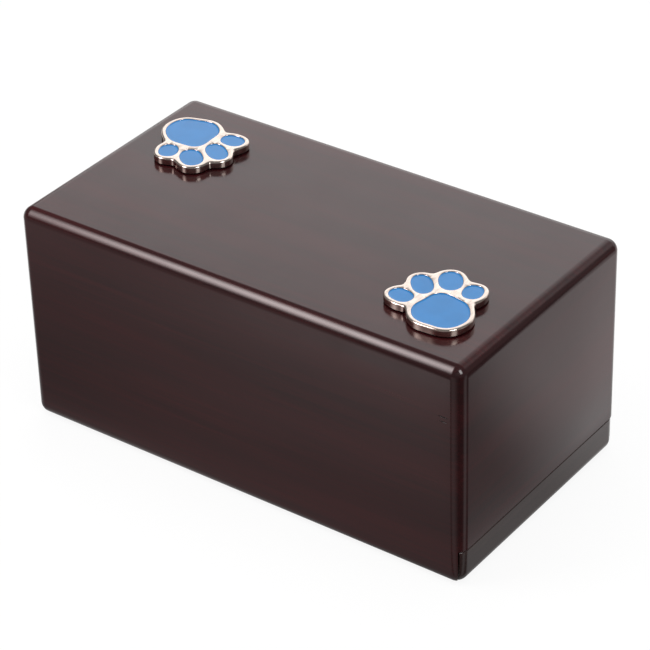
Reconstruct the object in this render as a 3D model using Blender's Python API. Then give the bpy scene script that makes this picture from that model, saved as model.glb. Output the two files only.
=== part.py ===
"""Pet cremation urn: a small lacquered box with two enamelled paw emblems on its top.

The box is made of five mitred boards. Its bottom panel runs in grooves and slides out endways
together with the mitred strip that closes the foot of the right-hand end.

Metres, +Z up. The origin is the centre of the underside, +X runs along the box to the end that
opens, and -Y is the front.
"""
import math

import bmesh
import bpy
from mathutils import Vector

MM = 0.001

# Outside of the box
BOX_LENGTH = 150 * MM
BOX_WIDTH = 80 * MM
BOX_HEIGHT = 70 * MM
EDGE_RADIUS = 3.5 * MM
EDGE_STEPS = 5

# Boards, glued along their mitres
WALL = 8 * MM
TOP_BOARD = 8 * MM
GLUE_LINE = 0.3 * MM

# Bottom panel and the grooves that it slides in
PANEL = 4 * MM
PANEL_RECESS = 3 * MM
GROOVE_DEPTH = 4 * MM
RUNNING_CLEARANCE = 0.4 * MM

# Strip at the foot of the right-hand end, glued to the panel
STRIP_HEIGHT = 11 * MM
STRIP_SEAM = 0.4 * MM
STRIP_MITRE_GAP = 0.5 * MM
STRIP_SETBACK = 0.25 * MM
STRIP_GROOVE_DEPTH = 4 * MM

# Emblem plate: cast metal, with a raised rim round each enamelled cell
PLATE = 2.1 * MM
PLATE_BED = 0.4 * MM
PLATE_ARRIS = 0.35 * MM
RIM = 1.3 * MM
WEB_BLEND = 1.3 * MM
OUTLINE_STEPS = 84

# Enamel, laid in pockets of the plate
POCKET = 1.0 * MM
ENAMEL = 0.6 * MM
ENAMEL_GAP = 0.25 * MM
PAD_STEPS = 40
TOE_STEPS = 24

# Main pad of the paw: a round of this radius that swells by each amount, so many times round it,
# first at the angle given in degrees. Angles run from the emblem's +X, and the toes lie along its +Y.
PAD_RADIUS = 7.85 * MM
PAD_SWELLS = (
    (2, 0.34 * MM, 110),
    (3, 0.36 * MM, 69),
    (4, 0.27 * MM, 1),
    (5, 0.10 * MM, 13),
    (6, 0.14 * MM, 27),
)

# Toes: centre from the middle of the pad, half length, half width, and the angle of the length
TOES = {
    "outer_left_toe": (-9.8 * MM, 9.0 * MM, 3.7 * MM, 2.9 * MM, 127),
    "inner_left_toe": (-3.7 * MM, 13.7 * MM, 4.8 * MM, 3.0 * MM, 93),
    "inner_right_toe": (4.05 * MM, 14.4 * MM, 4.65 * MM, 3.35 * MM, 86),
    "outer_right_toe": (9.25 * MM, 8.15 * MM, 3.45 * MM, 2.9 * MM, 66),
}

# Power of the curve round each toe: 2 gives an ellipse, and more gives it squarer shoulders
TOE_POWER = 2.25

# Emblems: which end and side of the top each is near, the middle of its pad measured in from that
# end and side, and the direction of its toes in degrees from +X
EMBLEMS = {
    "left_emblem": (-1, 1, 17.1 * MM, 21.8 * MM, -37),
    "right_emblem": (1, -1, 18.5 * MM, 18.5 * MM, 130),
}

SMOOTH_BELOW = math.radians(40)

# Each side of the box: the way it faces, how far its outer face is from the origin, its thickness
SIDES = {
    "front": (Vector((0, -1, 0)), BOX_WIDTH / 2, WALL),
    "back": (Vector((0, 1, 0)), BOX_WIDTH / 2, WALL),
    "left": (Vector((-1, 0, 0)), BOX_LENGTH / 2, WALL),
    "right": (Vector((1, 0, 0)), BOX_LENGTH / 2, WALL),
    "top": (Vector((0, 0, 1)), BOX_HEIGHT, TOP_BOARD),
}


def clear_scene():
    for thing in list(bpy.data.objects):
        bpy.data.objects.remove(thing)


def finish(name, colour, roughness, metallic=0.0):
    material = bpy.data.materials.new(name)
    material.use_nodes = True
    shader = material.node_tree.nodes["Principled BSDF"]
    shader.inputs["Base Color"].default_value = (*colour, 1.0)
    shader.inputs["Roughness"].default_value = roughness
    shader.inputs["Metallic"].default_value = metallic
    return material


def add_object(name, mesh, material=None):
    thing = bpy.data.objects.new(name, mesh)
    bpy.context.scene.collection.objects.link(thing)
    if material:
        mesh.materials.append(material)
    return thing


def mesh_from(name, form):
    bmesh.ops.recalc_face_normals(form, faces=form.faces)
    mesh = bpy.data.meshes.new(name)
    form.to_mesh(mesh)
    form.free()
    mesh.shade_smooth()
    mesh.set_sharp_from_angle(angle=SMOOTH_BELOW)
    return mesh


def block(low, high):
    """A plain rectangular form between two corners."""
    form = bmesh.new()
    bmesh.ops.create_cube(form, size=1.0)
    for vert in form.verts:
        vert.co = Vector(lo if v < 0 else hi for v, lo, hi in zip(vert.co, low, high))
    return form


def rounded_box(setback=0.0):
    """The outside of the whole box, with every edge rounded; a setback draws its four sides in."""
    half_length = BOX_LENGTH / 2 - setback
    half_width = BOX_WIDTH / 2 - setback
    form = block((-half_length, -half_width, 0), (half_length, half_width, BOX_HEIGHT))
    bmesh.ops.bevel(form, geom=form.edges[:], offset=EDGE_RADIUS, segments=EDGE_STEPS,
                    profile=0.5, affect="EDGES")
    return form


def saw(form, point, waste):
    """Cut a convex form flat through a point, and drop the part on the side that waste points to."""
    everything = form.verts[:] + form.edges[:] + form.faces[:]
    sawn = bmesh.ops.bisect_plane(form, geom=everything, plane_co=point, plane_no=waste, clear_outer=True)
    rim = [part for part in sawn["geom_cut"] if isinstance(part, bmesh.types.BMEdge)]
    bmesh.ops.contextual_create(form, geom=rim)


def mitre(form, side, neighbour, setback):
    """Saw the form's edge on one side of the box so that it meets the neighbouring side's board."""
    facing, reach, thickness = SIDES[side]
    next_facing, next_reach, next_thickness = SIDES[neighbour]
    corner = facing * reach + next_facing * next_reach
    waste = (next_facing * thickness - facing * next_thickness).normalized()
    saw(form, corner - waste * setback, waste)


def board(name, side, mitres, material, foot=None):
    """One board of the box; mitres gives its neighbours with how far it stops short of each."""
    facing, reach, thickness = SIDES[side]
    form = rounded_box()
    saw(form, facing * (reach - thickness), -facing)
    for neighbour, setback in mitres.items():
        mitre(form, side, neighbour, setback)
    if foot is not None:
        saw(form, Vector((0, 0, foot)), Vector((0, 0, -1)))
    return add_object(name, mesh_from(name, form), material)


def cutter(name, mesh):
    tool = add_object(name, mesh)
    tool.hide_render = True
    tool.display_type = "WIRE"
    return tool


def cut_with(thing, tool):
    modifier = thing.modifiers.new("cut by " + tool.name, "BOOLEAN")
    modifier.operation = "DIFFERENCE"
    modifier.object = tool


def make_box(lacquer):
    """The five boards, and the groove that runs round three of them for the bottom panel."""
    half_glue = GLUE_LINE / 2
    walls = []
    for side in ("front", "back"):
        mitres = {"left": half_glue, "top": half_glue, "right": STRIP_MITRE_GAP}
        walls.append(board(side + "_wall", side, mitres, lacquer))
    mitres = {"front": half_glue, "back": half_glue, "top": half_glue}
    walls.append(board("left_end_wall", "left", mitres, lacquer))

    overlap = GLUE_LINE - STRIP_MITRE_GAP
    mitres = {"front": overlap, "back": overlap, "top": half_glue}
    board("right_end_wall", "right", mitres, lacquer, foot=STRIP_HEIGHT + STRIP_SEAM / 2)
    board("top_board", "top", dict.fromkeys(("front", "back", "left", "right"), half_glue), lacquer)

    low = (
        -BOX_LENGTH / 2 + WALL - GROOVE_DEPTH,
        -BOX_WIDTH / 2 + WALL - GROOVE_DEPTH,
        PANEL_RECESS - RUNNING_CLEARANCE,
    )
    high = (BOX_LENGTH, BOX_WIDTH / 2 - WALL + GROOVE_DEPTH, PANEL_RECESS + PANEL + RUNNING_CLEARANCE)
    groove = cutter("panel_groove", mesh_from("panel_groove", block(low, high)))
    for wall in walls:
        cut_with(wall, groove)


def make_slide(lacquer):
    """The bottom panel and the strip that it is glued into, which slide out together along +X."""
    seat = BOX_LENGTH / 2 - WALL + STRIP_GROOVE_DEPTH
    half_width = BOX_WIDTH / 2 - WALL + GROOVE_DEPTH - RUNNING_CLEARANCE
    far_end = -BOX_LENGTH / 2 + WALL - GROOVE_DEPTH + RUNNING_CLEARANCE
    low = (far_end, -half_width, PANEL_RECESS)
    high = (seat - GLUE_LINE, half_width, PANEL_RECESS + PANEL)
    slide = add_object("bottom_panel", mesh_from("bottom_panel", block(low, high)), lacquer)

    form = rounded_box(STRIP_SETBACK)
    facing, reach, thickness = SIDES["right"]
    saw(form, facing * (reach - thickness), -facing)
    saw(form, Vector((0, 0, STRIP_HEIGHT - STRIP_SEAM / 2)), Vector((0, 0, 1)))
    for neighbour in ("front", "back"):
        mitre(form, "right", neighbour, 0.0)
    strip = add_object("bottom_end_strip", mesh_from("bottom_end_strip", form), lacquer)
    low = (0, -BOX_WIDTH / 2, PANEL_RECESS - GLUE_LINE)
    high = (seat, BOX_WIDTH / 2, PANEL_RECESS + PANEL + GLUE_LINE)
    cut_with(strip, cutter("panel_seat", mesh_from("panel_seat", block(low, high))))
    strip.parent = slide


def pad_radius(angle):
    return PAD_RADIUS + sum(
        swell * math.cos(times * (angle - math.radians(first))) for times, swell, first in PAD_SWELLS
    )


def pad_outline(shrink):
    angles = [math.tau * step / PAD_STEPS for step in range(PAD_STEPS)]
    return [Vector((math.cos(a), math.sin(a))) * (pad_radius(a) - shrink) for a in angles]


def squared_off(value):
    return math.copysign(abs(value) ** (2 / TOE_POWER), value)


def toe_outline(toe, shrink):
    x, y, half_length, half_width, turn = TOES[toe]
    along = Vector((math.cos(math.radians(turn)), math.sin(math.radians(turn))))
    aside = along.orthogonal()
    angles = [math.tau * step / TOE_STEPS for step in range(TOE_STEPS)]
    return [
        Vector((x, y))
        + along * (half_length - shrink) * squared_off(math.cos(a))
        + aside * (half_width - shrink) * squared_off(math.sin(a))
        for a in angles
    ]


def distance_to_pad(point):
    return point.length - pad_radius(math.atan2(point.y, point.x))


def distance_to_toe(point, toe):
    """Close to the true distance from a toe's edge, negative inside it."""
    x, y, half_length, half_width, turn = TOES[toe]
    offset = point - Vector((x, y))
    along = Vector((math.cos(math.radians(turn)), math.sin(math.radians(turn))))
    p, q = offset.dot(along), offset.dot(along.orthogonal())
    s, t = abs(p / half_length), abs(q / half_width)
    scaled = (s**TOE_POWER + t**TOE_POWER) ** (1 / TOE_POWER)
    slope = math.hypot(s ** (TOE_POWER - 1) / half_length, t ** (TOE_POWER - 1) / half_width)
    return (scaled - 1) * scaled ** (TOE_POWER - 1) / slope if slope else -half_width


def distance_to_cells(point):
    """Distance from the nearest cell, running smoothly from one cell to the next."""
    distances = [distance_to_pad(point)] + [distance_to_toe(point, toe) for toe in TOES]
    nearest = min(distances)
    crowd = sum(math.exp((nearest - distance) / WEB_BLEND) for distance in distances)
    return nearest - WEB_BLEND * math.log(crowd)


def plate_outline(rim):
    """The plate's edge: the line that runs at the rim's width round all the cells together."""
    toe_centres = [Vector(toe[:2]) for toe in TOES.values()]
    centre = sum(toe_centres, Vector((0, 0))) / len(toe_centres) / 2
    reach = 2 * max(toe_centre.length for toe_centre in toe_centres)
    outline = []
    for step in range(OUTLINE_STEPS):
        angle = math.tau * step / OUTLINE_STEPS
        ray = Vector((math.cos(angle), math.sin(angle)))
        inside, outside = 0.0, reach
        while outside - inside > MM / 1000:
            middle = (inside + outside) / 2
            if distance_to_cells(centre + ray * middle) > rim:
                outside = middle
            else:
                inside = middle
        outline.append(centre + ray * inside)
    return outline


def stacked(outlines, heights):
    """A closed form through outlines of as many points each, one above the other."""
    form = bmesh.new()
    rings = [
        [form.verts.new((point.x, point.y, height)) for point in outline]
        for outline, height in zip(outlines, heights)
    ]
    for lower, upper in zip(rings, rings[1:]):
        for i in range(len(lower)):
            j = (i + 1) % len(lower)
            form.faces.new((lower[i], lower[j], upper[j], upper[i]))
    form.faces.new(rings[0][::-1])
    form.faces.new(rings[-1])
    return form


def cells(shrink):
    """Outline of each enamelled cell, drawn in by shrink."""
    return {"pad": pad_outline(shrink), **{toe: toe_outline(toe, shrink) for toe in TOES}}


def pocket_forms():
    """All the pockets of a plate as one mesh, open at the top of the plate."""
    form = bmesh.new()
    for outline in cells(0.0).values():
        pocket = stacked((outline, outline), (PLATE - POCKET, PLATE + POCKET))
        mesh = mesh_from("pocket", pocket)
        form.from_mesh(mesh)
        bpy.data.meshes.remove(mesh)
    return form


def make_emblem(name, nickel, enamel):
    end, side, end_inset, side_inset, heading = EMBLEMS[name]
    place = bpy.data.objects.new(name + "_place", None)
    bpy.context.scene.collection.objects.link(place)
    place.location = (
        end * (BOX_LENGTH / 2 - end_inset),
        side * (BOX_WIDTH / 2 - side_inset),
        BOX_HEIGHT + PLATE_BED,
    )
    place.rotation_euler.z = math.radians(heading - 90)

    edge = plate_outline(RIM)
    form = stacked((edge, edge, plate_outline(RIM - PLATE_ARRIS)), (0, PLATE - PLATE_ARRIS, PLATE))
    plate = add_object(name + "_plate", mesh_from(name + "_plate", form), nickel)
    plate.parent = place
    pockets = cutter(name + "_pockets", mesh_from(name + "_pockets", pocket_forms()))
    pockets.parent = place
    cut_with(plate, pockets)

    floor = PLATE - POCKET + ENAMEL_GAP
    for cell, outline in cells(ENAMEL_GAP).items():
        fill_name = name + "_" + cell + "_enamel"
        fill = stacked((outline, outline), (floor, floor + ENAMEL))
        add_object(fill_name, mesh_from(fill_name, fill), enamel).parent = place


def main():
    clear_scene()
    lacquer = finish("dark mahogany lacquer", (0.030, 0.014, 0.013), 0.28)
    nickel = finish("polished nickel", (0.62, 0.60, 0.57), 0.16, metallic=1.0)
    enamel = finish("sky blue enamel", (0.12, 0.31, 0.64), 0.20)
    make_box(lacquer)
    make_slide(lacquer)
    for name in EMBLEMS:
        make_emblem(name, nickel, enamel)


main()
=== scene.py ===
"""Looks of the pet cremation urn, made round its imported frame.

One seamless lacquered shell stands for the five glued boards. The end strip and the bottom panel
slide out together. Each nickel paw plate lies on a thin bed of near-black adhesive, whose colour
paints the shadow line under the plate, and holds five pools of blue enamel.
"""
import math

import bmesh
import bpy
from mathutils import Matrix, Vector


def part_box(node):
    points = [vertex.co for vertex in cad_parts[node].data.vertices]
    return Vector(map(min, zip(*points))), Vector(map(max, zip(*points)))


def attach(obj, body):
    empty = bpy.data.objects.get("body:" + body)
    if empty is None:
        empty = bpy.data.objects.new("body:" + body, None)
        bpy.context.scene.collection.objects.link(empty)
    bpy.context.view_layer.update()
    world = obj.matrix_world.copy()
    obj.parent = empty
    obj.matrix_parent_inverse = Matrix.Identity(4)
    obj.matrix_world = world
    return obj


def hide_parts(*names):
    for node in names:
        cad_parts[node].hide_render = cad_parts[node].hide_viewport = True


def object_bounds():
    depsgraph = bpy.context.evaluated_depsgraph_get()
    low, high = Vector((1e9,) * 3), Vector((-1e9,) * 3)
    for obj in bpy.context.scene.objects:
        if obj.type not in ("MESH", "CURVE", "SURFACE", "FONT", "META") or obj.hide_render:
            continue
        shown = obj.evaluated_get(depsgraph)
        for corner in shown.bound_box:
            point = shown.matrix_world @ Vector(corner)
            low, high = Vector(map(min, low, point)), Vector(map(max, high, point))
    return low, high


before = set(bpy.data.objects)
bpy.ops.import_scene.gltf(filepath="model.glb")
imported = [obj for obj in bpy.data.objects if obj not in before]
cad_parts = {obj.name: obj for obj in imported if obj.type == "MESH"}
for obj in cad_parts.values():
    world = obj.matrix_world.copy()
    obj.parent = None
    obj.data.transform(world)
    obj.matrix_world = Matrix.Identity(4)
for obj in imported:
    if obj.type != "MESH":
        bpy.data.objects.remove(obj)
cad_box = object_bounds()

MM = 0.001

# Sizes read from the frame
HALF_LENGTH = cad_box[1].x
HALF_WIDTH = cad_box[1].y
CEILING, TOP = (corner.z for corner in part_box("top_board"))
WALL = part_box("back_wall")[1].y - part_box("back_wall")[0].y
SEAM_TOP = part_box("right_end_wall")[0].z
STRIP_LOW, STRIP_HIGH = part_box("bottom_end_strip")
PANEL_LOW, PANEL_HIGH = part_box("bottom_panel")

# Rounding and joints of the woodwork
EDGE_RADIUS = 3.5 * MM
EDGE_STEPS = 12
ARRIS = 0.5 * MM
SEAM_ARRIS = 0.35 * MM
STRIP_ARRIS = 0.35 * MM
ARRIS_STEPS = 6
PANEL_ARRIS = 0.5 * MM
RUNNING_CLEARANCE = 0.4 * MM
STRIP_MITRE_GAP = 0.5 * MM
SEAT_CLEARANCE = 0.3 * MM
STRIP_GROOVE_DEPTH = 4 * MM

# Angle from which two faces make a sharp edge
SHARP = math.radians(35)

# Depth under the outside up to which a point counts as on it, and up to which lacquer runs in
ON_SURFACE = 0.03 * MM
LACQUER_REACH = 0.9 * MM

# Two short scratches near the right end of the front: middle, half length, half height and depth
SCRATCHES = (
    (Vector((69.3 * MM, -HALF_WIDTH, 54.2 * MM)), 1.5 * MM),
    (Vector((69.4 * MM, -HALF_WIDTH, 52.7 * MM)), 1.3 * MM),
)
SCRATCH_HALF_HEIGHT = 0.2 * MM
SCRATCH_DEPTH = 0.15 * MM

# Emblem plate
PLATE = 2.1 * MM
PLATE_BED = 0.4 * MM
RIM = 1.3 * MM
WEB_BLEND = 1.3 * MM
PLATE_STEPS = 260
FOOT_ARRIS = 0.15 * MM
SHOULDER = 0.45 * MM
SHOULDER_STEPS = 5
LIP = 0.12 * MM
LIP_STEPS = 3
BED_INSET = 0.55 * MM

# Enamel: it clings to the wall of its pocket and sinks a little towards the middle
POCKET = 1.0 * MM
CELL_STEPS = 110
FILL_GAP = 0.02 * MM
FILL_EDGE = 0.06 * MM
FILL_SINK = 0.10 * MM
MENISCUS = 0.55 * MM
MENISCUS_STEPS = 6

# Main pad of the paw: a round of this radius that swells by each amount, so many times round it,
# first at the angle given in degrees. Angles run from the emblem's +X, and the toes lie along its +Y.
PAD_RADIUS = 7.85 * MM
PAD_SWELLS = (
    (2, 0.34 * MM, 110),
    (3, 0.36 * MM, 69),
    (4, 0.27 * MM, 1),
    (5, 0.10 * MM, 13),
    (6, 0.14 * MM, 27),
)

# Toes: centre from the middle of the pad, half length, half width, and the angle of the length
TOES = {
    "outer_left_toe": (-9.8 * MM, 9.0 * MM, 3.7 * MM, 2.9 * MM, 127),
    "inner_left_toe": (-3.7 * MM, 13.7 * MM, 4.8 * MM, 3.0 * MM, 93),
    "inner_right_toe": (4.05 * MM, 14.4 * MM, 4.65 * MM, 3.35 * MM, 86),
    "outer_right_toe": (9.25 * MM, 8.15 * MM, 3.45 * MM, 2.9 * MM, 66),
}

# Power of the curve round each toe: 2 gives an ellipse, and more gives it squarer shoulders
TOE_POWER = 2.25

# Emblems: which end and side of the top each is near, the middle of its pad measured in from that
# end and side, and the direction of its toes in degrees from +X
EMBLEMS = {
    "left": (-1, 1, 17.1 * MM, 21.8 * MM, -37),
    "right": (1, -1, 18.5 * MM, 18.5 * MM, 130),
}

# Camera: direction from which it looks, and its place
CAMERA_AZIMUTH = math.radians(36.82)
CAMERA_ELEVATION = math.radians(33.09)
CAMERA_ROLL = math.radians(-1.73)
CAMERA_PLACE = Vector((0.40315, -0.53568, 0.47277))
CAMERA_LENS = 155.67
CAMERA_SENSOR = 36


# Meshes

def block(low, high):
    """A plain rectangular form between two corners."""
    form = bmesh.new()
    bmesh.ops.create_cube(form, size=1.0)
    for vert in form.verts:
        vert.co = Vector(lo if v < 0 else hi for v, lo, hi in zip(vert.co, low, high))
    return form


def rounded_box(half_length, half_width):
    form = block((-half_length, -half_width, 0), (half_length, half_width, TOP))
    bmesh.ops.bevel(form, geom=form.edges[:], offset=EDGE_RADIUS, segments=EDGE_STEPS,
                    profile=0.5, affect="EDGES")
    return form


def mitred_block(near, far, low, high, widen):
    """A block across the right end with both sides mitred; widen moves its sides outwards."""
    form = block((near, -1, low), (far, 1, high))
    for vert in form.verts:
        vert.co.y *= vert.co.x - HALF_LENGTH + HALF_WIDTH + widen
    return form


def stacked(outlines, heights):
    """An open skin through outlines of as many points each, and its lowest and highest rings."""
    form = bmesh.new()
    rings = [
        [form.verts.new((point.x, point.y, height)) for point in outline]
        for outline, height in zip(outlines, heights)
    ]
    for lower, upper in zip(rings, rings[1:]):
        for i, corner in enumerate(lower):
            j = (i + 1) % len(lower)
            form.faces.new((corner, lower[j], upper[j], upper[i]))
    return form, rings[0], rings[-1]


def new_object(name, form, material=None):
    """A smooth-shaded object made of the form, which is used up."""
    bmesh.ops.recalc_face_normals(form, faces=form.faces)
    mesh = bpy.data.meshes.new(name)
    form.to_mesh(mesh)
    form.free()
    mesh.shade_smooth()
    if material:
        mesh.materials.append(material)
    thing = bpy.data.objects.new(name, mesh)
    bpy.context.scene.collection.objects.link(thing)
    return thing


def apply_modifiers(thing):
    rough = thing.data
    graph = bpy.context.evaluated_depsgraph_get()
    thing.data = bpy.data.meshes.new_from_object(thing.evaluated_get(graph))
    thing.modifiers.clear()
    thing.data.name = thing.name
    bpy.data.meshes.remove(rough)


def carve(thing, *forms, operation="DIFFERENCE"):
    """Cut the forms out of an object, or keep only what lies inside one."""
    for form in forms:
        tool = new_object("cutter", form)
        modifier = thing.modifiers.new("carve", "BOOLEAN")
        modifier.operation = operation
        modifier.object = tool
        apply_modifiers(thing)
        bpy.data.meshes.remove(tool.data)


def round_off(thing, width, chosen):
    """Round off the sharp edges between points that chosen accepts."""
    form = bmesh.new()
    form.from_mesh(thing.data)
    edges = [
        edge for edge in form.edges
        if edge.calc_face_angle(0.0) > SHARP and all(chosen(vert.co) for vert in edge.verts)
    ]
    bmesh.ops.bevel(form, geom=edges, offset=width, segments=ARRIS_STEPS, profile=0.5,
                    affect="EDGES", clamp_overlap=False)
    form.to_mesh(thing.data)
    form.free()


def soften(thing, width):
    """Round off the sharp edges that are left."""
    bevel = thing.modifiers.new("arris", "BEVEL")
    bevel.limit_method = "ANGLE"
    bevel.angle_limit = SHARP
    bevel.width = width
    bevel.segments = ARRIS_STEPS
    apply_modifiers(thing)


def settle_normals(thing):
    """Keep broad faces flat where they run into roundings."""
    thing.data.shade_smooth()
    thing.modifiers.new("weighted normals", "WEIGHTED_NORMAL")
    apply_modifiers(thing)


def rounded_normals(thing, half_length, half_width):
    """Shade what lies on the rounded outside as truly round, and let flat faces rule elsewhere."""
    mesh = thing.data
    mesh.shade_smooth()
    pull = [Vector() for vert in mesh.vertices]
    for face in mesh.polygons:
        for index in face.vertices:
            pull[index] += face.normal * face.area
    normals = []
    for vert, normal in zip(mesh.vertices, pull):
        depth, outward = surface_at(vert.co, half_length, half_width)
        normals.append(outward if depth < ON_SURFACE else normal.normalized())
    mesh.normals_split_custom_set_from_vertices(normals)


# Material nodes

def add(tree, kind, settings=None, **inputs):
    """A node with its settings; each input is a value or another node's output."""
    made = tree.nodes.new(kind)
    for name, value in (settings or {}).items():
        setattr(made, name, value)
    for name, value in inputs.items():
        plug(tree, made.inputs[name.replace("_", " ")], value)
    return made


def plug(tree, socket, value):
    if isinstance(value, bpy.types.NodeSocket):
        tree.links.new(value, socket)
    else:
        socket.default_value = value


def calc(tree, operation, *values):
    made = tree.nodes.new("ShaderNodeMath")
    made.operation = operation
    for socket, value in zip(made.inputs, values):
        plug(tree, socket, value)
    return made.outputs["Value"]


def product(tree, first, *others):
    for other in others:
        first = calc(tree, "MULTIPLY", first, other)
    return first


def total(tree, first, *others):
    for other in others:
        first = calc(tree, "ADD", first, other)
    return first


def blend(tree, share, first, second):
    """The first number where share is 0, and the second where it is 1."""
    step = calc(tree, "SUBTRACT", second, first)
    return calc(tree, "MULTIPLY_ADD", share, step, first)


def ramp(tree, value, start, end, low=0.0, high=1.0):
    """low up to start, high from end on, and a smooth passage between."""
    made = add(tree, "ShaderNodeMapRange", {"interpolation_type": "SMOOTHSTEP"}, Value=value,
               From_Min=start, From_Max=end, To_Min=low, To_Max=high)
    return made.outputs["Result"]


def noise(tree, place, stretch, detail=3.0, roughness=0.5):
    """Noise whose marks are about 1/stretch long along each axis."""
    mapped = add(tree, "ShaderNodeMapping", Vector=place, Scale=stretch)
    made = add(tree, "ShaderNodeTexNoise", Vector=mapped.outputs["Vector"], Scale=1.0,
               Detail=detail, Roughness=roughness)
    return made.outputs["Fac"]


def mix(tree, share, first, second):
    made = add(tree, "ShaderNodeMix", {"data_type": "RGBA"})
    plug(tree, made.inputs["Factor"], share)
    plug(tree, made.inputs[6], first)
    plug(tree, made.inputs[7], second)
    return made.outputs[2]


def bump(tree, height, depth):
    made = add(tree, "ShaderNodeBump", Height=height, Distance=depth, Strength=1.0)
    return made.outputs["Normal"]


def new_material(name):
    """A material, its node tree, its shader and the place on the object."""
    material = bpy.data.materials.new(name)
    material.use_nodes = True
    tree = material.node_tree
    place = add(tree, "ShaderNodeTexCoord").outputs["Object"]
    return material, tree, tree.nodes["Principled BSDF"], place


def lacquer(name, along, dark, red, gloss):
    """Clear lacquer over stained wood whose grain runs along one axis."""
    material, tree, shader, place = new_material(name)
    fine = [900.0] * 3
    broad = [90.0] * 3
    fine[along] = 14.0
    broad[along] = 9.0
    streaks = ramp(tree, noise(tree, place, fine, 5.0, 0.6), 0.35, 0.72)
    bands = ramp(tree, noise(tree, place, broad, 3.0), 0.38, 0.68)
    share = calc(tree, "MULTIPLY_ADD", streaks, 0.55, calc(tree, "MULTIPLY", bands, 0.45))
    plug(tree, shader.inputs["Base Color"], mix(tree, share, dark, red))
    haze = noise(tree, place, [60.0] * 3, 4.0)
    plug(tree, shader.inputs["Roughness"], ramp(tree, haze, 0.3, 0.7, gloss - 0.02, gloss + 0.03))
    ripple = noise(tree, place, [260.0] * 3, 2.0)
    plug(tree, shader.inputs["Normal"], bump(tree, ripple, 0.008 * MM))
    return material


def bare_wood(name, along):
    """Stained wood without lacquer, for the inside and the sliding bottom."""
    material, tree, shader, place = new_material(name)
    fine = [1300.0] * 3
    broad = [160.0] * 3
    fine[along] = 40.0
    broad[along] = 11.0
    pores = noise(tree, place, fine, 6.0, 0.65)
    rings = noise(tree, place, broad, 3.0)
    share = calc(tree, "MULTIPLY_ADD", ramp(tree, pores, 0.35, 0.7), 0.5,
                 calc(tree, "MULTIPLY", ramp(tree, rings, 0.35, 0.65), 0.5))
    colour = mix(tree, share, (0.030, 0.012, 0.008, 1), (0.085, 0.034, 0.021, 1))
    plug(tree, shader.inputs["Base Color"], colour)
    shader.inputs["Roughness"].default_value = 0.62
    plug(tree, shader.inputs["Normal"], bump(tree, pores, 0.05 * MM))
    return material


def nickel(name):
    """Polished nickel plate with faint casting waves and rub marks."""
    material, tree, shader, place = new_material(name)
    waves = noise(tree, place, [330.0] * 3, 2.0)
    rubs = noise(tree, place, [1500.0, 240.0, 800.0], 4.0, 0.6)
    plug(tree, shader.inputs["Base Color"],
         mix(tree, ramp(tree, rubs, 0.3, 0.75), (0.70, 0.60, 0.54, 1), (0.625, 0.53, 0.47, 1)))
    plug(tree, shader.inputs["Roughness"], ramp(tree, rubs, 0.35, 0.75, 0.10, 0.20))
    plug(tree, shader.inputs["Normal"], bump(tree, waves, 0.015 * MM))
    shader.inputs["Metallic"].default_value = 1.0
    return material


def enamel(name):
    """Sky blue soft enamel, a little uneven."""
    material, tree, shader, place = new_material(name)
    clouds = noise(tree, place, [140.0] * 3, 3.0)
    ripple = noise(tree, place, [420.0] * 3, 2.0)
    plug(tree, shader.inputs["Base Color"],
         mix(tree, ramp(tree, clouds, 0.3, 0.7), (0.004, 0.155, 0.415, 1), (0.008, 0.174, 0.46, 1)))
    plug(tree, shader.inputs["Roughness"], ramp(tree, clouds, 0.3, 0.7, 0.12, 0.18))
    plug(tree, shader.inputs["Normal"], bump(tree, ripple, 0.012 * MM))
    return material


def adhesive(name):
    """Near-black adhesive, seen only as the line under a plate; its colour paints the shadow there,
    and the shade inside the scratches.
    """
    material, tree, shader, place = new_material(name)
    lumps = noise(tree, place, [900.0] * 3, 2.0)
    plug(tree, shader.inputs["Base Color"],
         mix(tree, lumps, (0.006, 0.005, 0.005, 1), (0.014, 0.012, 0.011, 1)))
    plug(tree, shader.inputs["Normal"], bump(tree, lumps, 0.05 * MM))
    shader.inputs["Roughness"].default_value = 0.6
    return material


# Woodwork

def surface_at(point, half_length, half_width):
    """How deep a point lies under the rounded outside of the box, and which way is straight out."""
    middle = TOP / 2
    offset = point - Vector((0, 0, middle))
    core = Vector((half_length, half_width, middle)) - Vector((EDGE_RADIUS,) * 3)
    outward = Vector(v - max(-limit, min(v, limit)) for v, limit in zip(offset, core))
    sunk = min(max(abs(v) - limit for v, limit in zip(offset, core)), 0.0)
    return EDGE_RADIUS - outward.length - sunk, outward.normalized()


def share_out(thing, long_grain, cross_grain, inside, painted_scratch_shade=None):
    """Give each face the wood of its board, the scratches a near-black painted shade, and what lies
    deeper bare wood.
    """
    for material in (long_grain, cross_grain, inside, painted_scratch_shade or inside):
        thing.data.materials.append(material)
    for face in thing.data.polygons:
        across = abs(face.normal.x) > max(abs(face.normal.y), abs(face.normal.z))
        depth = surface_at(face.center, HALF_LENGTH, HALF_WIDTH)[0]
        # The inside of a scratch is painted near-black: painted shade in its groove.
        if depth > ON_SURFACE and in_scratch(face.center):
            face.material_index = 3
        elif depth > LACQUER_REACH:
            face.material_index = 2
        else:
            face.material_index = 1 if across else 0


def in_scratch(point):
    return any(
        abs(point.x - middle.x) < half_length and abs(point.z - middle.z) < SCRATCH_HALF_HEIGHT
        for middle, half_length in SCRATCHES
    )


def scratch(middle, half_length):
    form = bmesh.new()
    bmesh.ops.create_icosphere(form, subdivisions=2, radius=1.0)
    size = Matrix.Diagonal((half_length, SCRATCH_DEPTH, SCRATCH_HALF_HEIGHT, 1.0))
    bmesh.ops.transform(form, matrix=Matrix.Translation(middle) @ size, verts=form.verts)
    return form


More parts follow.
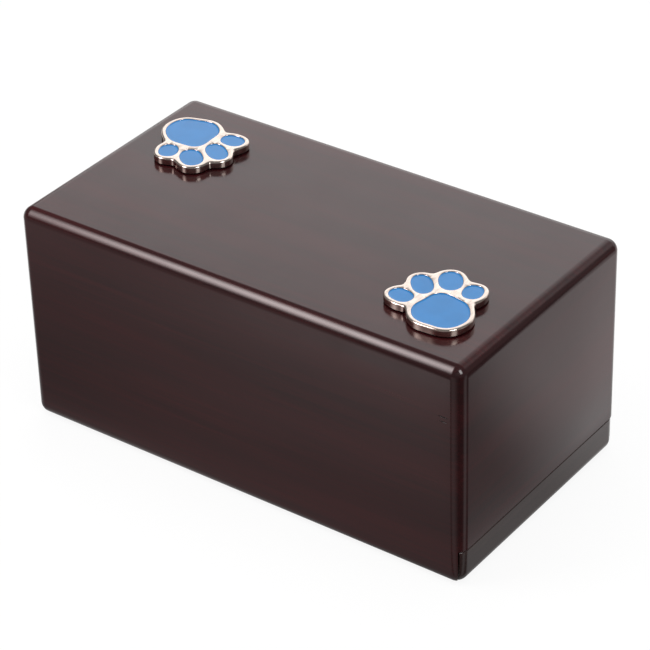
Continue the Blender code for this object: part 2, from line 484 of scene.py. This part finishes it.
def make_shell(long_grain, cross_grain, inside, painted_scratch_shade):
    """The five glued boards as one lacquered form, hollow, open below and grooved for the panel."""
    shell = new_object("urn_shell", rounded_box(HALF_LENGTH, HALF_WIDTH))
    clear = Vector((RUNNING_CLEARANCE,) * 3)
    cavity = block((WALL - HALF_LENGTH, WALL - HALF_WIDTH, -WALL),
                   (HALF_LENGTH - WALL, HALF_WIDTH - WALL, CEILING))
    groove_high = PANEL_HIGH + clear
    groove_high.x = 2 * HALF_LENGTH
    groove = block(PANEL_LOW - clear, groove_high)
    opening = mitred_block(HALF_LENGTH - 2 * WALL, HALF_LENGTH + WALL, -WALL, SEAM_TOP,
                           STRIP_MITRE_GAP * math.sqrt(2))
    carve(shell, cavity, groove, opening)
    round_off(shell, SEAM_ARRIS, lambda point: (
        abs(point.z - SEAM_TOP) < ON_SURFACE
        and surface_at(point, HALF_LENGTH, HALF_WIDTH)[0] < ON_SURFACE
    ))
    soften(shell, ARRIS)
    carve(shell, *(scratch(middle, half_length) for middle, half_length in SCRATCHES))
    rounded_normals(shell, HALF_LENGTH, HALF_WIDTH)
    share_out(shell, long_grain, cross_grain, inside, painted_scratch_shade)
    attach(shell, "box")
    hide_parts("top_board", "front_wall", "back_wall", "left_end_wall", "right_end_wall")


def make_strip(long_grain, cross_grain, inside):
    """The mitred strip at the foot of the right end."""
    half_length = STRIP_HIGH.x
    half_width = half_length - HALF_LENGTH + HALF_WIDTH
    strip = new_object("end_strip", rounded_box(half_length, half_width))
    carve(strip, mitred_block(STRIP_LOW.x, HALF_LENGTH + WALL, -WALL, STRIP_HIGH.z, 0.0),
          operation="INTERSECT")
    seat_low = PANEL_LOW - Vector((0, HALF_WIDTH, SEAT_CLEARANCE))
    seat_high = Vector((STRIP_LOW.x + STRIP_GROOVE_DEPTH, HALF_WIDTH, PANEL_HIGH.z + SEAT_CLEARANCE))
    carve(strip, block(seat_low, seat_high))
    round_off(strip, STRIP_ARRIS, lambda point: (
        abs(point.z - STRIP_HIGH.z) < ON_SURFACE
        and surface_at(point, half_length, half_width)[0] < ON_SURFACE
    ))
    soften(strip, ARRIS)
    rounded_normals(strip, half_length, half_width)
    share_out(strip, long_grain, cross_grain, inside)
    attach(strip, "bottom_slide")
    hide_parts("bottom_end_strip")


def make_bottom(wood):
    """The panel that runs in the grooves."""
    panel = new_object("sliding_bottom", block(PANEL_LOW, PANEL_HIGH), wood)
    soften(panel, PANEL_ARRIS)
    settle_normals(panel)
    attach(panel, "bottom_slide")
    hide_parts("bottom_panel")


# Emblems

def pad_radius(angle):
    return PAD_RADIUS + sum(
        swell * math.cos(times * (angle - math.radians(first))) for times, swell, first in PAD_SWELLS
    )


def turns(steps):
    return [math.tau * step / steps for step in range(steps)]


def pad_outline(shrink):
    return [Vector((math.cos(a), math.sin(a))) * (pad_radius(a) - shrink) for a in turns(CELL_STEPS)]


def squared_off(value):
    return math.copysign(abs(value) ** (2 / TOE_POWER), value)


def toe_outline(toe, shrink):
    x, y, half_length, half_width, turn = TOES[toe]
    along = Vector((math.cos(math.radians(turn)), math.sin(math.radians(turn))))
    aside = along.orthogonal()
    return [
        Vector((x, y))
        + along * (half_length - shrink) * squared_off(math.cos(a))
        + aside * (half_width - shrink) * squared_off(math.sin(a))
        for a in turns(CELL_STEPS)
    ]


def cell_outline(cell, shrink):
    return pad_outline(shrink) if cell == "pad" else toe_outline(cell, shrink)


def distance_to_pad(point):
    return point.length - pad_radius(math.atan2(point.y, point.x))


def distance_to_toe(point, toe):
    """Close to the true distance from a toe's edge, negative inside it."""
    x, y, half_length, half_width, turn = TOES[toe]
    offset = point - Vector((x, y))
    along = Vector((math.cos(math.radians(turn)), math.sin(math.radians(turn))))
    p, q = offset.dot(along), offset.dot(along.orthogonal())
    s, t = abs(p / half_length), abs(q / half_width)
    scaled = (s**TOE_POWER + t**TOE_POWER) ** (1 / TOE_POWER)
    slope = math.hypot(s ** (TOE_POWER - 1) / half_length, t ** (TOE_POWER - 1) / half_width)
    return (scaled - 1) * scaled ** (TOE_POWER - 1) / slope if slope else -half_width


def distance_to_cells(point):
    """Distance from the nearest cell, running smoothly from one cell to the next."""
    distances = [distance_to_pad(point)] + [distance_to_toe(point, toe) for toe in TOES]
    nearest = min(distances)
    crowd = sum(math.exp((nearest - distance) / WEB_BLEND) for distance in distances)
    return nearest - WEB_BLEND * math.log(crowd)


def plate_outline(rim):
    """The line that runs at the rim's width round all the cells together."""
    toe_centres = [Vector(toe[:2]) for toe in TOES.values()]
    centre = sum(toe_centres, Vector((0, 0))) / len(toe_centres) / 2
    reach = 2 * max(toe_centre.length for toe_centre in toe_centres)
    outline = []
    for angle in turns(PLATE_STEPS):
        ray = Vector((math.cos(angle), math.sin(angle)))
        inside, outside = 0.0, reach
        while outside - inside > MM / 1000:
            middle = (inside + outside) / 2
            if distance_to_cells(centre + ray * middle) > rim:
                outside = middle
            else:
                inside = middle
        outline.append(centre + ray * inside)
    return outline


def rounding(radius, steps):
    """Inward and upward offsets from the foot of a quarter round to its top."""
    angles = [math.pi / 2 * step / steps for step in range(steps + 1)]
    return [(radius * (1 - math.cos(a)), radius * math.sin(a)) for a in angles]


def plate_form():
    """A plate with a rounded shoulder, and five rounded lips round its pockets."""
    outlines = [plate_outline(RIM - FOOT_ARRIS), plate_outline(RIM)]
    heights = [0.0, FOOT_ARRIS]
    for inward, upward in rounding(SHOULDER, SHOULDER_STEPS):
        outlines.append(plate_outline(RIM - inward))
        heights.append(PLATE - SHOULDER + upward)
    form, foot, shoulder = stacked(outlines, heights)
    form.faces.new(foot[::-1])
    loops = [shoulder]
    for cell in ("pad", *TOES):
        outlines = [cell_outline(cell, 0.0)]
        heights = [PLATE - POCKET]
        for inward, upward in rounding(LIP, LIP_STEPS):
            outlines.append(cell_outline(cell, -inward))
            heights.append(PLATE - LIP + upward)
        pocket, floor, lip = stacked(outlines, heights)
        pocket.faces.new(floor)
        tip = len(pocket.verts) - len(lip)
        mesh = bpy.data.meshes.new("pocket")
        pocket.to_mesh(mesh)
        pocket.free()
        start = len(form.verts)
        form.from_mesh(mesh)
        bpy.data.meshes.remove(mesh)
        form.verts.ensure_lookup_table()
        loops.append(form.verts[start + tip:])
    edges = [
        form.edges.get((loop[i - 1], loop[i]))
        for loop in loops
        for i in range(len(loop))
    ]
    bmesh.ops.triangle_fill(form, use_beauty=True, use_dissolve=False, edges=edges, normal=(0, 0, 1))
    return form


def fill_form(cell):
    """A pool of enamel that climbs a little at its edge."""
    bottom = PLATE - POCKET + FILL_GAP
    edge = PLATE - FILL_EDGE
    outlines = [cell_outline(cell, FILL_GAP)] * 2
    heights = [bottom, edge]
    for step in range(1, MENISCUS_STEPS + 1):
        share = step / MENISCUS_STEPS
        outlines.append(cell_outline(cell, FILL_GAP + MENISCUS * share))
        heights.append(edge - FILL_SINK * (1 - (1 - share) ** 2))
    form, low, high = stacked(outlines, heights)
    form.faces.new(low[::-1])
    form.faces.new(high)
    return form


def bed_form():
    edge = plate_outline(RIM - BED_INSET)
    form, low, high = stacked((edge, edge), (-PLATE_BED, 0.0))
    form.faces.new(low[::-1])
    form.faces.new(high)
    return form


def make_emblem(side, metal, blue, glue_and_painted_shade):
    """One paw: its plate, its bed and its five fills."""
    end, across, end_inset, side_inset, heading = EMBLEMS[side]
    place = Matrix.Translation((
        end * (HALF_LENGTH - end_inset),
        across * (HALF_WIDTH - side_inset),
        TOP + PLATE_BED,
    )) @ Matrix.Rotation(math.radians(heading - 90), 4, "Z")

    def settle(piece):
        piece.data.transform(place)
        settle_normals(piece)
        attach(piece, "box")

    plate = new_object(side + "_paw_plate", plate_form(), metal)
    settle(plate)
    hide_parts(side + "_emblem_plate")
    # The bed is near-black so that it paints the shadow line under the plate.
    settle(new_object(side + "_paw_adhesive_and_shadow", bed_form(), glue_and_painted_shade))
    for cell in ("pad", *TOES):
        fill = new_object(side + "_paw_" + cell + "_enamel", fill_form(cell), blue)
        settle(fill)
        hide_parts(side + "_emblem_" + cell + "_enamel")


# Studio

WHITE = (1.0, 1.0, 1.0, 1)
WARM = (1.2, 1.0, 1.0, 1)
HALF_WARM = (1.11, 1.0, 1.0, 1)
WORLD_GREY = (0.20, 0.20, 0.20, 1)

# Floor and table: their size, and how far each lies under the object
FLOOR_SIZE = 12.0
FLOOR_DROP = 0.02 * MM
TABLE_DROP = 0.05 * MM

# Edge of the beam on the table: the distance from it by metre of x and of y, and at the origin
BEAM_BY_X = -0.559
BEAM_BY_Y = 0.829
BEAM_START = 22.9 * MM

# Edge of the light on the table's far side, measured along y
FAR_SIDE_SLOPE = -1.71
FAR_SIDE_START = 128 * MM

# Window: pitch in degrees of its foot, centre and head, and places of its right side, centre and
# left side as shares of its distance; its glow at the centre and beyond its sides; its distance
WINDOW_PITCH = (12, 57, 98)
WINDOW_LEFTWARDS = (0.24, 0.56, 0.98)
WINDOW_GLOW = 11.3
WINDOW_REST = 0.20
WINDOW_DISTANCE = 1.3


def emitter(name, strength=1.0, diffuse=0.0, tint=WHITE):
    """A plain glow, with a share of paper white that takes shadows."""
    material = bpy.data.materials.new(name)
    material.use_nodes = True
    tree = material.node_tree
    tree.nodes.clear()
    glow = add(tree, "ShaderNodeEmission", Color=tint, Strength=strength)
    shader = glow.outputs["Emission"]
    if diffuse:
        paper = add(tree, "ShaderNodeBsdfDiffuse", Color=(diffuse, diffuse, diffuse, 1))
        both = tree.nodes.new("ShaderNodeAddShader")
        tree.links.new(shader, both.inputs[0])
        tree.links.new(paper.outputs["BSDF"], both.inputs[1])
        shader = both.outputs["Shader"]
    out = tree.nodes.new("ShaderNodeOutputMaterial")
    tree.links.new(shader, out.inputs["Surface"])
    return material, tree, glow


def stage_piece(name, form, material, camera, rest):
    """Part of the studio, seen by the camera or only by the light that falls on the object."""
    thing = new_object(name, form, material)
    thing.visible_camera = camera
    thing.visible_diffuse = rest
    thing.visible_glossy = rest
    thing.visible_transmission = rest
    thing.visible_shadow = False
    return thing


def only_in_reflections(thing):
    thing.visible_diffuse = False


def sheet_form(width, depth, height=0.0):
    """A flat rectangle with the Z axis through its middle."""
    form = bmesh.new()
    corners = ((-1, -1), (1, -1), (1, 1), (-1, 1))
    form.faces.new([form.verts.new((x * width / 2, y * depth / 2, height)) for x, y in corners])
    return form


def make_floor():
    """The pale floor that the camera sees, and the table whose light falls on the object."""
    floor_look = emitter("pale floor", 0.90, 0.10)[0]
    floor = sheet_form(FLOOR_SIZE, FLOOR_SIZE, -FLOOR_DROP)
    stage_piece("floor", floor, floor_look, True, False)
    table = sheet_form(FLOOR_SIZE, FLOOR_SIZE, -TABLE_DROP)
    stage_piece("table", table, table_look(), False, True)


def shaded_point(tree):
    """X, Y and Z of the point that is being shaded."""
    place = add(tree, "ShaderNodeNewGeometry").outputs["Position"]
    split = add(tree, "ShaderNodeSeparateXYZ", Vector=place)
    return split.outputs["X"], split.outputs["Y"], split.outputs["Z"]


def open_table_glow(tree, x, y):
    """Light on the table in front of the box and beside its right end."""
    beam = calc(tree, "MULTIPLY_ADD", x, BEAM_BY_X,
                calc(tree, "MULTIPLY_ADD", y, BEAM_BY_Y, BEAM_START))
    far_side = calc(tree, "MULTIPLY_ADD", x, FAR_SIDE_SLOPE, calc(tree, "ADD", y, FAR_SIDE_START))
    lit = product(
        tree,
        total(tree, ramp(tree, beam, -24 * MM, 14 * MM, 0, 0.56),
              ramp(tree, far_side, 10 * MM, 36 * MM, 0, 0.25)),
        ramp(tree, y, -50 * MM, -20 * MM),
        ramp(tree, x, 112 * MM, 130 * MM, 1.0, 0.87),
    )
    rise = product(
        tree,
        ramp(tree, y, -82 * MM, -118 * MM),
        ramp(tree, y, -240 * MM, -124 * MM, 0.35, 1.0),
        ramp(tree, x, -130 * MM, -30 * MM, 0.12, 0.22),
    )
    streak = product(
        tree,
        ramp(tree, y, -113 * MM, -119 * MM),
        ramp(tree, y, -126 * MM, -120 * MM),
        ramp(tree, x, -120 * MM, -20 * MM, 0.05, 0.50),
    )
    farther = product(
        tree,
        ramp(tree, y, -60 * MM, -80 * MM),
        ramp(tree, x, -125 * MM, 60 * MM, 0.05, 0.09),
    )
    left_side = ramp(tree, x, -125 * MM, 0, 0.24, 0.335)
    base = calc(tree, "SUBTRACT", left_side, ramp(tree, x, 83 * MM, 97 * MM, 0, 0.11))
    away_from_the_foot = total(tree, lit, rise, streak, farther, base)
    foot = ramp(tree, y, 5 * MM, 55 * MM, 0.46, 0.86)
    by_the_strip = product(
        tree,
        ramp(tree, x, 84.5 * MM, 83.5 * MM),
        ramp(tree, x, 70 * MM, 75 * MM),
    )
    return blend(tree, by_the_strip, away_from_the_foot, foot)


def corner_glow(tree, bearing):
    """Light on the table off the near corner of the box, by its bearing there in degrees from +X."""
    south_glow = product(
        tree,
        ramp(tree, bearing, -124.5, -101.5),
        ramp(tree, bearing, -95, -41, 0.33, 0.0),
    )
    east_glow = product(
        tree,
        ramp(tree, bearing, -7.5, 13.5),
        ramp(tree, bearing, 20, 39, 0.43, 0.0),
    )
    return total(tree, south_glow, east_glow, 0.09)


def table_look():
    """Light and shade on the table round the box, which its glossy sides mirror."""
    material, tree, glow = emitter("table")
    x, y = shaded_point(tree)[:2]
    east, north = calc(tree, "SUBTRACT", x, HALF_LENGTH), calc(tree, "ADD", y, HALF_WIDTH)
    bearing = calc(tree, "DEGREES", calc(tree, "ARCTAN2", north, east))
    off_the_corner = product(
        tree,
        ramp(tree, bearing, -124.5, -122),
        ramp(tree, bearing, 56, 53),
    )
    strength = blend(tree, off_the_corner, open_table_glow(tree, x, y), corner_glow(tree, bearing))
    plug(tree, glow.inputs["Strength"], strength)
    in_front = ramp(tree, y, -40 * MM, -48 * MM)
    at_the_end = ramp(tree, x, 85 * MM, 97 * MM)
    beside = mix(tree, at_the_end, WHITE, HALF_WARM)
    plug(tree, glow.inputs["Color"], mix(tree, in_front, beside, WARM))
    return material


def wall_look():
    """A pale wall behind the object, brightest low down and on its left."""
    material, tree, glow = emitter("wall")
    x, _, z = shaded_point(tree)
    upwards = ramp(tree, z, 0.88, 1.80, 1.74, 0.20)
    across = ramp(tree, x, 0.35, -0.15, 0.5, 1.0)
    plug(tree, glow.inputs["Strength"], product(tree, upwards, across))
    return material


def window_look():
    """A soft window, seen from the middle of the top front edge: brightest at its centre."""
    material, tree, glow = emitter("window", tint=HALF_WARM)
    x, y, z = shaded_point(tree)
    ahead = calc(tree, "SUBTRACT", -HALF_WIDTH, y)
    above = calc(tree, "SUBTRACT", z, TOP)
    pitch = calc(tree, "DEGREES", calc(tree, "ARCTAN2", above, ahead))
    reach = calc(tree, "SQRT", total(tree, product(tree, ahead, ahead), product(tree, above, above)))
    leftwards = calc(tree, "DIVIDE", calc(tree, "MULTIPLY", x, -1.0), reach)
    foot, middle, head = WINDOW_PITCH
    right, centre, left = WINDOW_LEFTWARDS
    bright = product(
        tree,
        ramp(tree, pitch, foot, middle),
        ramp(tree, pitch, head, middle),
        ramp(tree, leftwards, right, centre),
        ramp(tree, leftwards, left, centre),
    )
    strength = calc(tree, "MULTIPLY_ADD", bright, WINDOW_GLOW, WINDOW_REST)
    plug(tree, glow.inputs["Strength"], strength)
    return material


def make_window():
    """The curved sheet that the window's light is painted on."""
    form = bmesh.new()
    rows = []
    for pitch in range(8, 110, 4):
        row = []
        for tenths in range(2, 12):
            leftwards = tenths / 10
            ray = Vector((-leftwards, -math.cos(math.radians(pitch)), math.sin(math.radians(pitch))))
            corner = Vector((0, -HALF_WIDTH, TOP)) + ray.normalized() * WINDOW_DISTANCE
            row.append(form.verts.new(corner))
        rows.append(row)
    for lower, upper in zip(rows, rows[1:]):
        for i in range(len(lower) - 1):
            form.faces.new((lower[i], lower[i + 1], upper[i + 1], upper[i]))
    only_in_reflections(stage_piece("window", form, window_look(), False, True))


def make_backdrop():
    form = bmesh.new()
    bmesh.ops.create_uvsphere(form, u_segments=48, v_segments=24, radius=5.0)
    stage_piece("backdrop", form, emitter("pale backdrop", 1.0)[0], True, False)


def facing_the_object(azimuth, elevation, distance):
    """Place of a light that faces the object; azimuth runs in degrees from -Y towards -X."""
    a, e = math.radians(azimuth), math.radians(elevation)
    back = Vector((-math.sin(a) * math.cos(e), -math.cos(a) * math.cos(e), math.sin(e)))
    turned = back.to_track_quat("Z", "Y").to_matrix()
    return Matrix.Translation(back * distance) @ turned.to_4x4()


def softbox(name, place, width, height, radiance):
    """A rectangular light of even radiance, left out of reflections."""
    light = bpy.data.lights.new(name, "AREA")
    light.shape = "RECTANGLE"
    light.size, light.size_y = width, height
    light.energy = radiance * math.pi * width * height
    lamp = bpy.data.objects.new(name, light)
    bpy.context.scene.collection.objects.link(lamp)
    lamp.matrix_world = place
    lamp.visible_camera = False
    lamp.visible_glossy = False


def card(name, place, width, height, material):
    """A glowing sheet seen only in reflections."""
    form = sheet_form(width, height)
    bmesh.ops.transform(form, matrix=place, verts=form.verts)
    only_in_reflections(stage_piece(name, form, material, False, True))


def make_lights():
    world = bpy.data.worlds.new("studio")
    bpy.context.scene.world = world
    world.use_nodes = True
    world.node_tree.nodes["Background"].inputs["Color"].default_value = WORLD_GREY
    softbox("front_left_softbox", facing_the_object(50, 45, 1.3), 0.6, 0.6, 5.0)
    make_window()
    softbox("back_light", facing_the_object(157, 22, 1.4), 1.5, 1.6, 1.4)
    upright = Matrix.Rotation(math.radians(90), 4, "X")
    card("wall", Matrix.Translation((-0.3, 1.3, 1.05)) @ upright, 2.6, 1.7, wall_look())
    card("front_card", facing_the_object(-37, 34, 1.4), 1.0, 0.6, emitter("front card", 0.3)[0])
    card("right_window", facing_the_object(-74, 46, 1.3), 0.4, 0.7, emitter("right window", 8.0)[0])
    softbox("overhead_light", facing_the_object(0, 89, 1.2), 1.0, 1.0, 2.4)
    softbox("right_light", facing_the_object(-82, 40, 1.3), 1.0, 0.8, 2.3)


def make_camera():
    camera = bpy.data.objects.new("camera", bpy.data.cameras.new("camera"))
    bpy.context.scene.collection.objects.link(camera)
    camera.data.lens = CAMERA_LENS
    camera.data.sensor_width = CAMERA_SENSOR
    back = Vector((
        math.sin(CAMERA_AZIMUTH) * math.cos(CAMERA_ELEVATION),
        -math.cos(CAMERA_AZIMUTH) * math.cos(CAMERA_ELEVATION),
        math.sin(CAMERA_ELEVATION),
    ))
    level = Vector((math.cos(CAMERA_AZIMUTH), math.sin(CAMERA_AZIMUTH), 0.0))
    upright = Matrix((level, back.cross(level), back)).transposed()
    turned = upright @ Matrix.Rotation(CAMERA_ROLL, 3, "Z")
    camera.matrix_world = Matrix.Translation(CAMERA_PLACE) @ turned.to_4x4()
    bpy.context.scene.camera = camera


def main():
    make_camera()
    make_floor()
    make_backdrop()
    make_lights()

    stain_dark = (0.019, 0.0045, 0.0052, 1)
    stain_red = (0.048, 0.0068, 0.0078, 1)
    long_grain = lacquer("lacquer, grain lengthways", 0, stain_dark, stain_red, 0.17)
    cross_grain = lacquer("lacquer, grain across", 1, stain_dark, stain_red, 0.17)
    strip_dark = (0.026, 0.012, 0.011, 1)
    strip_pale = (0.052, 0.026, 0.023, 1)
    strip_long = lacquer("strip lacquer, grain lengthways", 0, strip_dark, strip_pale, 0.18)
    strip_cross = lacquer("strip lacquer, grain across", 1, strip_dark, strip_pale, 0.18)
    bare = bare_wood("bare stained wood", 0)
    # Near-black glue: its colour paints the shadow under each plate and the shade in the scratches.
    glue_and_painted_shade = adhesive("adhesive")
    # The glue colour also paints the shade inside the scratches on the front.
    make_shell(long_grain, cross_grain, bare, glue_and_painted_shade)
    make_strip(strip_long, strip_cross, bare)
    make_bottom(bare)

    metal, blue = nickel("polished nickel"), enamel("blue enamel")
    for side in EMBLEMS:
        make_emblem(side, metal, blue, glue_and_painted_shade)

    bpy.context.scene.view_settings.view_transform = "Standard"


main()
